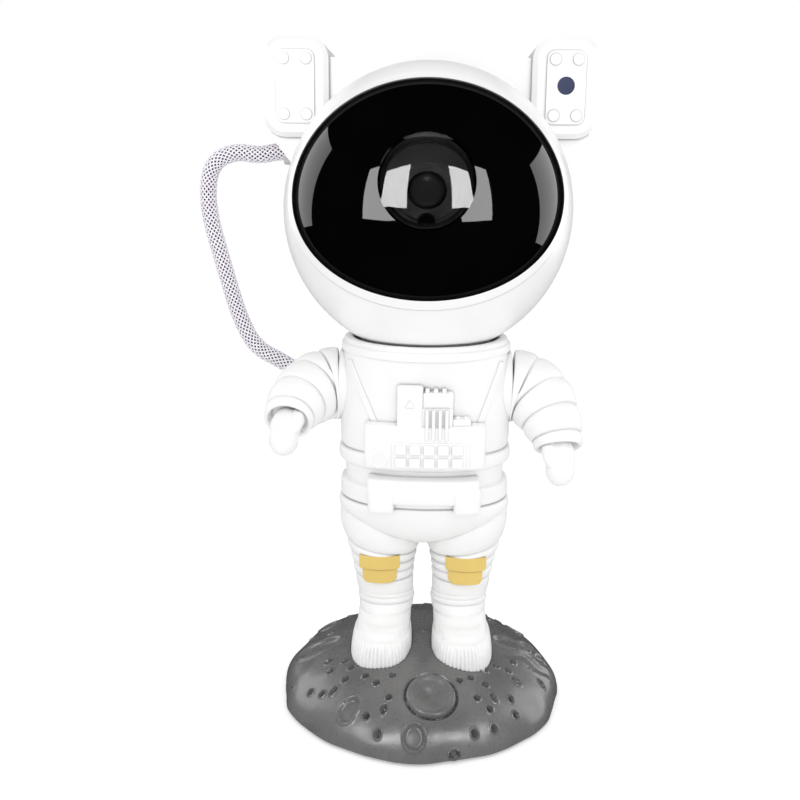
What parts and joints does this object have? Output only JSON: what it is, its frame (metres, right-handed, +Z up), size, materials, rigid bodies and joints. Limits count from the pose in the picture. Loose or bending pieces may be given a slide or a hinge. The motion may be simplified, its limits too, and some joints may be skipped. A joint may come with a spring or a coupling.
{
  "type": "star projector lamp",
  "caption": "Star and nebula projector lamp shaped as a small astronaut on a cratered base, with a turning and tilting domed head and swinging arms.",
  "frame": {"origin": "centre of the foot pad's underside, on the surface that the lamp stands on", "axes": "+Z up, the visor faces -Y, +X to the right of someone who faces the visor"},
  "size_m": [0.1367, 0.1077, 0.227],
  "materials": {
    "white_shell": "satin white ABS",
    "white_figure": "matte white ABS",
    "visor_black": "polished black, nearly opaque",
    "clear_lens": "clear polished",
    "black_plastic": "satin black",
    "grey_ring": "satin grey",
    "window_blue": "dark blue, infra-red window",
    "moon_grey": "satin grey, moulded craters",
    "patch_gold": "matte gold paint on plastic",
    "silicone": "soft grey-white",
    "pad_rubber": "matte black",
    "steel": "zinc plated",
    "magnet_nickel": "nickel plated",
    "brass": "turned",
    "aluminium": "extruded",
    "board_green": "solder mask",
    "led_yellow": "phosphor and silicone",
    "hose_weave": "braided mesh, white with a lavender tint",
    "button_white": "satin white"
  },
  "bodies": {
    "stand": {"torso_front": "white_figure", "torso_back": "white_figure", "collar": "white_figure", "leg_left": "white_figure", "leg_right": "white_figure", "boot_left": "white_figure", "boot_right": "white_figure", "moon_base": "moon_grey", "base_plate": "black_plastic", "magnet_holder": "black_plastic", "foot_pad": "pad_rubber", "ballast": "steel", "base_screws": "steel", "boot_screws": "steel", "torso_screws": "steel", "shoulder_axle": "steel", "knee_patches": "patch_gold", "neck_magnet": "magnet_nickel", "hose_socket_lower": "aluminium", "hose_lower": "hose_weave"},
    "neck_ring": {"neck_ring": "silicone", "hose_upper": "hose_weave"},
    "head": {"helmet_front": "white_shell", "helmet_rear": "white_shell", "visor_bezel": "white_shell", "pack_frame": "white_shell", "pack_cover": "white_shell", "visor": "visor_black", "projection_lens": "clear_lens", "condenser_lens": "clear_lens", "grating_disc": "clear_lens", "lens_barrel": "black_plastic", "lamp_frame": "black_plastic", "light_tube": "black_plastic", "ir_receiver": "black_plastic", "inner_lens": "black_plastic", "lens_ring": "grey_ring", "laser_module": "brass", "led_board": "board_green", "main_board": "board_green", "led_chips": "led_yellow", "heatsink": "aluminium", "hose_socket_upper": "aluminium", "wheel_axle": "steel", "drive_motor": "steel", "keeper_cap": "steel", "pack_screws": "steel", "usb_socket": "steel", "tact_switches": "steel", "ir_window": "window_blue"},
    "arm_left": {"sleeve_left": "white_figure", "hand_left": "white_figure"},
    "arm_right": {"sleeve_right": "white_figure", "hand_right": "white_figure"},
    "ripple_wheel": {"ripple_wheel": "clear_lens"},
    "motor_pinion": {"motor_pinion": "brass"},
    "button_left": {"button_left": "button_white"},
    "button_middle": {"button_middle": "button_white"},
    "button_right": {"button_right": "button_white"}
  },
  "joints": [
    {"name": "head_turn", "type": "hinge", "parent": "stand", "child": "neck_ring", "pos_m": [0, 0, 0.1715], "axis": [0, 0, 1], "range_deg": [-40, 40], "deforming": ["hose_lower"]},
    {"name": "head_tilt", "type": "hinge", "parent": "neck_ring", "child": "head", "pos_m": [0, 0, 0.1715], "axis": [1, 0, 0], "range_deg": [-14, 18], "deforming": ["hose_upper"]},
    {"name": "arm_left_swing", "type": "hinge", "parent": "stand", "child": "arm_left", "pos_m": [-0.0291, 0, 0.1135], "axis": [1, 0, 0], "range_deg": [-32, 78]},
    {"name": "arm_right_swing", "type": "hinge", "parent": "stand", "child": "arm_right", "pos_m": [0.0291, 0, 0.1135], "axis": [1, 0, 0], "range_deg": [-60, 50]},
    {"name": "ripple_spin", "type": "hinge", "parent": "head", "child": "ripple_wheel", "pos_m": [0.009, -0.00507, 0.17267], "axis": [0, -0.9744, 0.225], "continuous": true},
    {"name": "pinion_spin", "type": "hinge", "parent": "head", "child": "motor_pinion", "pos_m": [0.0276, -0.00507, 0.17267], "axis": [0, -0.9744, 0.225], "continuous": true},
    {"name": "button_left_press", "type": "slide", "parent": "head", "child": "button_left", "axis": [0, -1, 0], "range_m": [0, 0.0006], "stiffness_N_per_m": 400},
    {"name": "button_middle_press", "type": "slide", "parent": "head", "child": "button_middle", "axis": [0, -1, 0], "range_m": [0, 0.0006], "stiffness_N_per_m": 400},
    {"name": "button_right_press", "type": "slide", "parent": "head", "child": "button_right", "axis": [0, -1, 0], "range_m": [0, 0.0006], "stiffness_N_per_m": 400}
  ],
  "couplings": [
    {"joint": "pinion_spin", "follows": "ripple_spin", "ratio": -3.4286}
  ]
}
